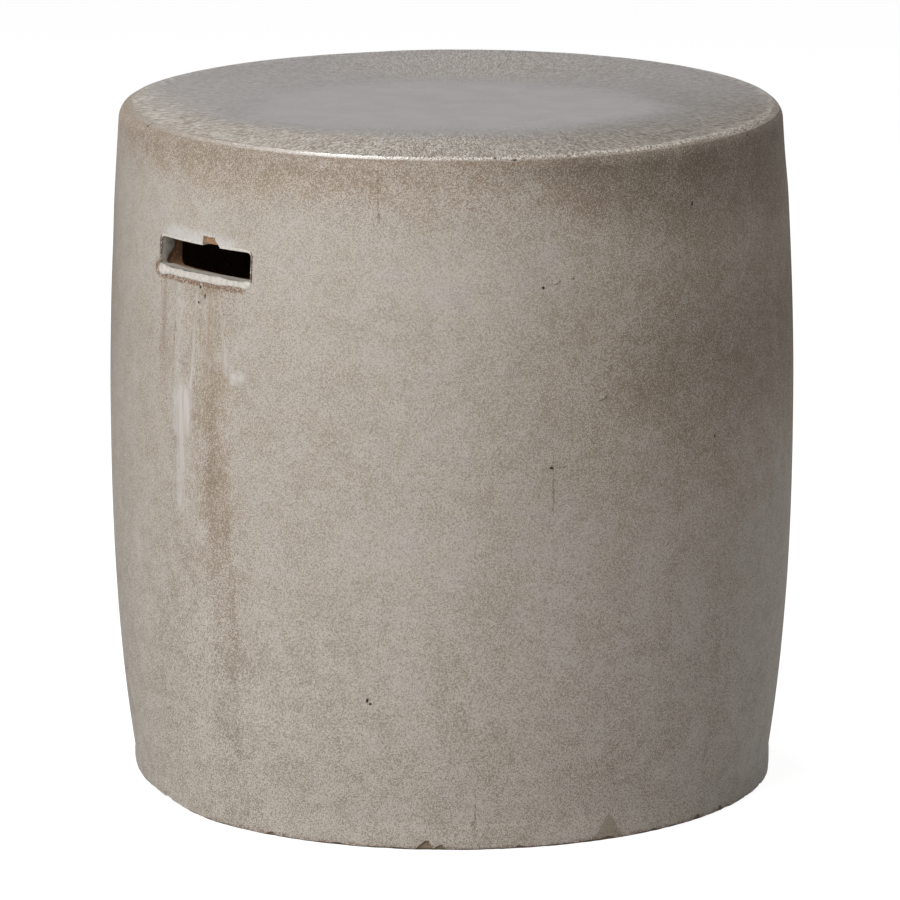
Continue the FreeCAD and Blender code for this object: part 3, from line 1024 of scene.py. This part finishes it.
def make_wall_material():
    material, tree, shader = new_material("mottled_glaze_on_wall")
    position = position_of(tree)
    place = place_at(tree, position)
    wander = speckle(tree, position, 4.0, 2.0)
    around = add(tree, place["Around"], sway(tree, wander, 2.2))
    height = add(tree, place["Height"], sway(tree, speckle(tree, position, 3.0, 2.0), 1.6))
    # The tan mask also carries painted shade on the wall's right side
    tan, clear, drawn = (mask_of(tree, name) for name in ("tan", "clear", "drawn"))
    flecks = flecks_at(tree, position, tan, drawn)
    # Towards the foot the flecks stand out more
    low = ranged(tree, place["Height"], 250.0, 60.0)
    boldness = times(tree, low, ranged(tree, place["Around"], -90.0, -170.0, 0.5, 1.0))
    bold = mixed(tree, flecks["Pale"], *BOLD)
    mottled = mixed(tree, boldness, fleck_colour(tree, flecks, tan), bold)
    streak = speckle(tree, stretched(tree, position, 1, 1, 0.05), 1.8, 3.0)
    clear_level = reckon(tree, "ADD", tan, sway(tree, streak, 0.9), clamp=True)
    clear_colour = mixed(tree, ranged(tree, clear_level, 0.25, 0.95), *CLEAR)
    broken = add(tree, clear, sway(tree, flecks["Fleck"], 1.1), sway(tree, wander, 0.7))
    glaze = mixed(tree, ranged(tree, broken, 0.15, 0.85), mottled, clear_colour)
    angle, top, half_width = THIN_WEDGE
    wedge = reckon(tree, "ABSOLUTE", add(tree, around, -angle * DEGREE_LENGTH))
    wedge = ranged(tree, add(tree, times(tree, wedge, top / half_width), height), top + 0.8, top - 0.3)
    glaze = mixed(tree, times(tree, wedge, 0.6), glaze, WEDGE_TAN)
    glaze = mixed(tree, times(tree, wall_edges(tree, position, around, height), 0.85), glaze, RUST_COLOUR)
    broken = patches(tree, position, 2.0, 2.0, 0.55, 0.38, 0.56)
    rust = times(tree, marks(tree, around, height, RUST), broken)
    glaze = mixed(tree, times(tree, rust, 0.62), glaze, RUST_COLOUR)
    holes, pimples = marks(tree, around, height, PINHOLES), marks(tree, around, height, PIMPLES)
    # Painted shade: pinholes turn near-black
    glaze = mixed(tree, holes, glaze, HOLE_SHADE)
    roughness = add(tree, slide(tree, flecks["Pale"], 0.36, 0.30), times(tree, clear, -0.14),
                    ranged(tree, tan, 0.45, 0.8, 0.0, 0.16))
    relief = add(tree, times(tree, flecks["Fleck"], 0.35), times(tree, flecks["Cloud"], 1.2),
                 times(tree, holes, -1.5), times(tree, pimples, 3.2), times(tree, rust, 0.15))
    finish_glaze(tree, shader, glaze, roughness, relief, 0.00022)
    return material


# Marks on the seat: place to the right of its middle in steps of DEGREE_LENGTH, place behind it,
# half width and half depth in mm, softness
SEAT_MARKS = ((-15.7, 128.0, 3.2, 1.6, 0.5), (40.0, 140.0, 1.8, 1.2, 0.5), (20.0, -166.0, 1.6, 2.2, 0.5))
# Dark spots on the rim, placed as the wall's marks are
RIM_SPOTS = (
    (7.3, 456.0, 1.1, 0.6, 0.4), (10.6, 454.9, 1.6, 0.5, 0.5), (-66.0, 455.2, 1.0, 1.2, 0.5),
    (130.0, 455.5, 1.2, 0.6, 0.4),
)


def seat_place(tree, position):
    """Millimetres to the right of and behind the seat's middle."""
    parts = split(tree, position)
    wander = add(tree, speckle(tree, position, 4.0, 1.0), -0.5)
    return [add(tree, times(tree, parts[k], 1000.0), times(tree, wander, 3.0 + k)) for k in (0, 1)]


def drawn_outward(tree, position, shorten):
    """The position with lengths out from the seat's middle shortened.

    What follows it is drawn out that way.
    """
    parts = split(tree, position)
    away = length_of(tree, parts[0], parts[1], NEVER_ZERO)
    across = times(tree, reckon(tree, "DIVIDE", parts[0], away), 0.2)
    behind = times(tree, reckon(tree, "DIVIDE", parts[1], away), 0.2)
    outward = add(tree, times(tree, away, shorten), times(tree, parts[2], -0.8))
    return add_node(tree, "ShaderNodeCombineXYZ", {0: across, 1: behind, 2: outward}).outputs[0]


def make_seat_material():
    material, tree, shader = new_material("mottled_glaze_on_seat")
    position = position_of(tree)
    place = place_at(tree, position)
    masks = ("tan", "pool", "bead", "gloss", "rimward", "past")
    tan, pool, bead, gloss, rimward, past = (mask_of(tree, name) for name in masks)
    flecks = flecks_at(tree, drawn_outward(tree, position, 0.16), 0.5, 0.0)
    pale = ranged(tree, flecks["Fleck"], 0.44, 0.56)
    inner, inner_shaded, outer, outer_shaded = (
        mixed(tree, pale, *pair) for pair in (SEAT_INNER, SEAT_INNER_SHADED, SEAT_OUTER, SEAT_OUTER_SHADED))
    # Painted shade: the seat's tan mask darkens its right side towards the darker copies
    inner = mixed(tree, times(tree, tan, 0.75), inner, inner_shaded)
    mottled = mixed(tree, rimward, inner, mixed(tree, tan, outer, outer_shaded))
    crease = speckle(tree, drawn_outward(tree, position, 0.30), 2.6, 2.0, 0.6, 0.5)
    creased = times(tree, ranged(tree, crease, 0.45, 0.34), add(tree, times(tree, rimward, 0.6), 0.12))
    mottled = mixed(tree, creased, mottled, CREASE_COLOUR)
    soft = mixed(tree, patches(tree, position, 22.0, 3.0, 0.55, 0.35, 0.65), *SEAT_POOL)
    pool_level = add(tree, pool, sway(tree, flecks["Fleck"], 0.9))
    glaze = mixed(tree, ranged(tree, pool_level, 0.05, 0.95), mottled, soft)
    beaded = times(tree, bead, ranged(tree, flecks["Fleck"], 0.45, 0.56), 0.85)
    glaze = mixed(tree, beaded, glaze, BEAD_COLOUR)
    on_wall = fleck_colour(tree, flecks_at(tree, position, 0.9, 0.2), 0.78)
    glaze = mixed(tree, past, glaze, on_wall)
    glaze = mixed(tree, marks(tree, *seat_place(tree, position), SEAT_MARKS), glaze, SEAT_MARK_COLOUR)
    spots = marks(tree, place["Around"], place["Height"], RIM_SPOTS)
    # The rim's dark spots take the same near-black painted shade
    glaze = mixed(tree, times(tree, spots, ranged(tree, place["Away"], 210.0, 213.0)), glaze, HOLE_SHADE)
    roughness = reckon(tree, "SUBTRACT", slide(tree, pool, 0.36, 0.17), times(tree, gloss, 0.20))
    calm = slide(tree, larger(tree, pool, gloss), 1.0, 0.10)
    relief = times(tree, add(tree, times(tree, crease, 1.5), times(tree, flecks["Fleck"], 0.8)), calm)
    finish_glaze(tree, shader, glaze, roughness, relief, 0.00025)
    return material


def make_lip_material():
    material, tree, shader = new_material("white_glaze")
    position = position_of(tree)
    soft = speckle(tree, position, 2.6, 3.0)
    inside, thin, sill = (mask_of(tree, name) for name in ("inside", "thin", "sill"))
    colour = mixed(tree, sill, mixed(tree, ranged(tree, soft, 0.34, 0.58), *LIP), SILL_COLOUR)
    # Painted shade: deep in the slot's ends the lining darkens
    shaded = mixed(tree, patches(tree, position, 4.0, 3.0, 0.55, 0.35, 0.6), *LIP_SHADED_INSIDE)
    colour = mixed(tree, times(tree, inside, 0.8), colour, shaded)
    grit = patches(tree, position, 1.6, 2.0, 0.6, 0.36, 0.56)
    colour = mixed(tree, times(tree, thin, grit), colour, THIN_LIP)
    finish_glaze(tree, shader, colour, ranged(tree, soft, 0.3, 0.7, 0.16, 0.24), soft, 0.00012)
    return material


def make_clay_material(name, base, dark, wheel_marks, contact_shadow=None):
    """Bare fired clay; if a colour for its lowest edge is given, that edge takes it as painted contact
    shadow.
    """
    material, tree, shader = new_material(name)
    position = position_of(tree)
    grain = speckle(tree, position, 1.2, 3.0, 0.65)
    patch = speckle(tree, position, 14.0, 3.0, 0.6)
    colour = mixed(tree, ranged(tree, patch, 0.3, 0.7), dark, base)
    grog = patches(tree, position, 2.4, 1.0, 0.55, 0.62, 0.70)
    colour = mixed(tree, times(tree, grog, 0.6), colour, tuple(min(1.0, 1.9 * c) for c in base))
    pits = ranged(tree, grain, 0.36, 0.26)
    colour = mixed(tree, times(tree, pits, 0.7), colour, tuple(0.3 * c for c in dark))
    # Painted contact shadow: the lowest mm or so darkens where the clay meets the floor
    if contact_shadow:
        height = place_at(tree, position)["Height"]
        edge = ranged(tree, add(tree, height, times(tree, patch, -2.4)), 0.9, -0.3)
        colour = mixed(tree, edge, colour, contact_shadow)
    rings = speckle(tree, stretched(tree, position, 0.05, 0.05, 1), 6.0, 2.0)
    relief = add(tree, times(tree, grain, 0.5), times(tree, rings, wheel_marks))
    finish_glaze(tree, shader, colour, ranged(tree, grain, 0.3, 0.7, 0.75, 0.92), relief, 0.0006)
    return material


def dress(piece, material):
    piece.data.materials.clear()
    piece.data.materials.append(material)


def make_groups():
    GROUPS.update(place=make_place_group(), mark=make_mark_group(), slot=make_slot_group(),
                  flecks=make_fleck_group())


def fit(piece, slot_name, *nodes):
    """Attaches a finished piece to the drum's body and hides the drum's pieces that it stands for."""
    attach(piece, "root")
    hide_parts(*nodes)


def finish_wall():
    wall = make_wall_glaze()
    points = points_of(wall)
    angle, up = angle_of(points), points[:, 2] / MM
    paint(wall, "tan", tan_and_shade_share(angle, up))
    paint(wall, "clear", smooth_share(angle, up))
    paint(wall, "drawn", drawn_share(angle, up))
    dress(wall, make_wall_material())
    fit(wall, "mottled_glaze", "wall_glaze")


def finish_seat():
    seat = make_seat_glaze()
    points, angle, radius, z = turned_points(seat)
    along = along_rim(radius, z)
    over = rim_end(angle) - along
    out = radius / MM
    # Painted shade over the seat's right side, deeper towards its edge
    dark = by_angle(SEAT_PAINTED_SHADE, angle) * smooth_step(104, 150, out)
    near_end = smooth_step(-1, 2.5, over) * smooth_step(12 + 20 * hump(angle, -45, 55), 4, over)
    start = by_angle(FLECKED_FROM, angle) + 8 * round_noise(angle, 30, 72)
    far = 0.42 * hump(turn_between(angle, 172), 0, 62) * between(out, 50, 110, 180, 214)
    paint(seat, "pool", pool_share(angle, radius))
    # The seat's tan mask holds that painted shade and some random tone
    paint(seat, "tan", dark * smooth_step(4, 9, over) + 0.12 * rough(points, 30 * MM, 71))
    paint(seat, "past", smooth_step(0.8, -0.8, over))
    paint(seat, "bead", (0.55 + 0.45 * hump(angle, -45, 40)) * near_end)
    paint(seat, "gloss", hump(angle, -17, 16) * hump(along, 1.5, 6))
    paint(seat, "rimward", np.maximum(smooth_step(0, 58, out - start), far))
    dress(seat, make_seat_material())
    fit(seat, "mottled_glaze", "seat_glaze")


def finish_slot(material, side_name, side, seed):
    lining = make_slot_glaze("slot_glaze_lining_" + side_name, side, seed)
    if side < 0:
        cut(lining, gap_cutter())
        close_up(lining)
    points = points_of(lining)
    past_end = np.abs(points[:, 1]) - SLOT_WIDTH / 2
    up = points[:, 2] - SLOT_MIDDLE
    inward = (wall_radius(points[:, 2]) - np.hypot(points[:, 0], points[:, 1])) / MM
    # Painted shade deep in the slot's ends
    paint(lining, "inside", smooth_step(1.5, 7, inward) * smooth_step(-2 * MM, 0, past_end))
    paint(lining, "sill", smooth_step(0.8, 2.5, inward) * smooth_step(-6 * MM, -9 * MM, up))
    ends = smooth_step(-1.0 * MM, -0.2 * MM, past_end)
    paint(lining, "thin", ends * smooth_step(2.5, 0.5, inward) * smooth_step(-10 * MM, -6 * MM, up))
    dress(lining, material)
    fit(lining, "white_glaze", "slot_glaze_" + side_name)


def finish_clay():
    clay = make_clay_material("bare_clay", CLAY, tuple(0.7 * c for c in CLAY), 0.6)
    ring = make_foot_ring()
    dress(ring, make_clay_material("foot_clay", FOOT_CLAY, FOOT_SHADE, 0.3, FOOT_CONTACT_SHADOW))
    fit(ring, "bare_clay", "foot_ring")
    slip = make_clay_material("dried_slip", SLIP, SLIP_SHADE, 0.2)
    for node in ("drum_wall", "seat_slab", "corner_coil"):
        dress(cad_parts[node], clay)
    for node in ("foot_slip", "seat_slip"):
        dress(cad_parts[node], slip)


def make_drum():
    make_groups()
    finish_wall()
    finish_seat()
    white = make_lip_material()
    finish_slot(white, "left", -1, 5)
    finish_slot(white, "right", 1, 8)
    finish_clay()


# Studio: floor, lamps and camera

def in_studio(angle, distance, height):
    """A place given by its angle round the drum, its distance from the axis and its height."""
    turned = math.radians(angle - PHOTO_TURN)
    return Vector((distance * math.sin(turned), -distance * math.cos(turned), height))


def new_lamp(name, size, energy, place):
    """A square soft lamp that shines straight down."""
    lamp = bpy.data.lights.new(name, "AREA")
    lamp.shape = "SQUARE"
    lamp.size = size
    lamp.energy = energy
    stand = bpy.data.objects.new(name, lamp)
    bpy.context.collection.objects.link(stand)
    stand.location = place
    return stand


def add_lamp(name, angle, elevation, distance, size, irradiance):
    """A lamp that lights a white card at the drum's middle to a level of irradiance."""
    rise = math.radians(elevation)
    place = in_studio(angle, distance * math.cos(rise), HEIGHT / 2 + distance * math.sin(rise))
    stand = new_lamp(name, size, irradiance * math.pi**2 * distance**2, place)
    middle = Vector((0, 0, HEIGHT / 2))
    stand.rotation_euler = (middle - place).to_track_quat("-Z", "Y").to_euler()
    return stand


def split_by_ray(tree, lighting, seen, output):
    """Lets one shader light the drum while the camera and reflections see another."""
    path = tree.nodes.new("ShaderNodeLightPath").outputs
    share = larger(tree, path["Is Camera Ray"], path["Is Glossy Ray"], path["Is Transmission Ray"])
    choice = add_node(tree, "ShaderNodeMixShader", {0: share, 1: lighting, 2: seen})
    wire(tree, choice.outputs[0], tree.nodes[output].inputs["Surface"])


def make_floor():
    deselect_all()
    bpy.ops.mesh.primitive_plane_add(size=14, location=(0, 0, 0))
    floor = bpy.context.object
    floor.name = "floor"
    material, tree, shader = new_material("white_floor")
    shader.inputs["Base Color"].default_value = (0.80, 0.80, 0.80, 1)
    shader.inputs["Roughness"].default_value = 0.9
    shader.inputs["Specular IOR Level"].default_value = 0.0
    glow = add_node(tree, "ShaderNodeEmission", {"Strength": 0.93})
    dim = add_node(tree, "ShaderNodeBsdfDiffuse", {"Color": (0.30, 0.30, 0.30, 1)})
    both = add_node(tree, "ShaderNodeAddShader", {0: glow.outputs[0], 1: dim.outputs[0]})
    split_by_ray(tree, shader.outputs[0], both.outputs[0], "Material Output")
    dress(floor, material)


def add_card(name, size, place, upright, shade, turned=0):
    """A card of the room round the floor, which only the glaze's reflections see."""
    deselect_all()
    turn = (math.radians(90 if upright else 0), 0, math.radians(turned - PHOTO_TURN))
    bpy.ops.mesh.primitive_plane_add(size=1, location=place, rotation=turn)
    card = bpy.context.object
    card.name = name
    card.scale = (*size, 1)
    material, tree = new_material(name)[:2]
    tint = (1.03 * shade, shade, 0.96 * shade, 1)
    glow = add_node(tree, "ShaderNodeEmission", {"Color": tint, "Strength": 1.0})
    wire(tree, glow.outputs[0], tree.nodes["Material Output"].inputs["Surface"])
    dress(card, material)
    for ray in ("camera", "diffuse", "shadow", "transmission"):
        setattr(card, "visible_" + ray, False)


def make_world():
    world = bpy.data.worlds.new("studio")
    bpy.context.scene.world = world
    world.use_nodes = True
    tree = world.node_tree
    room = tree.nodes["Background"]
    room.inputs["Color"].default_value = (1, 1, 1, 1)
    room.inputs["Strength"].default_value = 0.08
    backdrop = add_node(tree, "ShaderNodeBackground", {"Color": (1, 1, 1, 1), "Strength": 1.0})
    split_by_ray(tree, room.outputs[0], backdrop.outputs[0], "World Output")


CAMERA_DISTANCE = 4.5
CAMERA_HEIGHT = 1.227
CAMERA_PITCH = 12.63
CAMERA_LENS = 274.3
CAMERA_SHIFT = -0.0021


def make_camera():
    camera = bpy.data.cameras.new("camera")
    camera.lens = CAMERA_LENS
    camera.sensor_width = 36
    camera.shift_x = CAMERA_SHIFT
    tripod = bpy.data.objects.new("camera", camera)
    bpy.context.collection.objects.link(tripod)
    tripod.location = in_studio(0, CAMERA_DISTANCE, CAMERA_HEIGHT)
    tripod.rotation_euler = (math.radians(90 - CAMERA_PITCH), 0, math.radians(-PHOTO_TURN))
    bpy.context.scene.camera = tripod


def make_studio():
    make_floor()
    make_world()
    # Half of the key light leaves no highlight, so that the seat doesn't glare from the far side
    add_lamp("key", -38, 34, 2.6, 1.7, 0.38)
    add_lamp("key_without_gloss", -38, 34, 2.6, 1.7, 0.48).visible_glossy = False
    add_lamp("back", -160, 56, 2.6, 0.75, 0.32)
    # A lamp that shines straight down, so that only the floor's light reaches the drum's side
    new_lamp("right_floor", 1.0, 1.1, in_studio(75, 0.95, 0.7))
    edge, end = 1.2, 2.6
    add_card("near_floor", (9, 4), in_studio(180, edge - 2, 0.002), False, 0.30)
    add_card("far_floor", (9, end - edge), in_studio(180, (edge + end) / 2, 0.003), False, 0.06)
    walls = (("back", 180, end, 0), ("front", 0, 4.6, 0), ("left", -90, 4.5, 90), ("right", 90, 4.5, 90))
    for side, angle, distance, turned in walls:
        add_card(side + "_wall", (9, 4), in_studio(angle, distance, 2.0), True, 0.39, turned)
    make_camera()
    bpy.context.scene.view_settings.view_transform = "Standard"


make_drum()
make_studio()
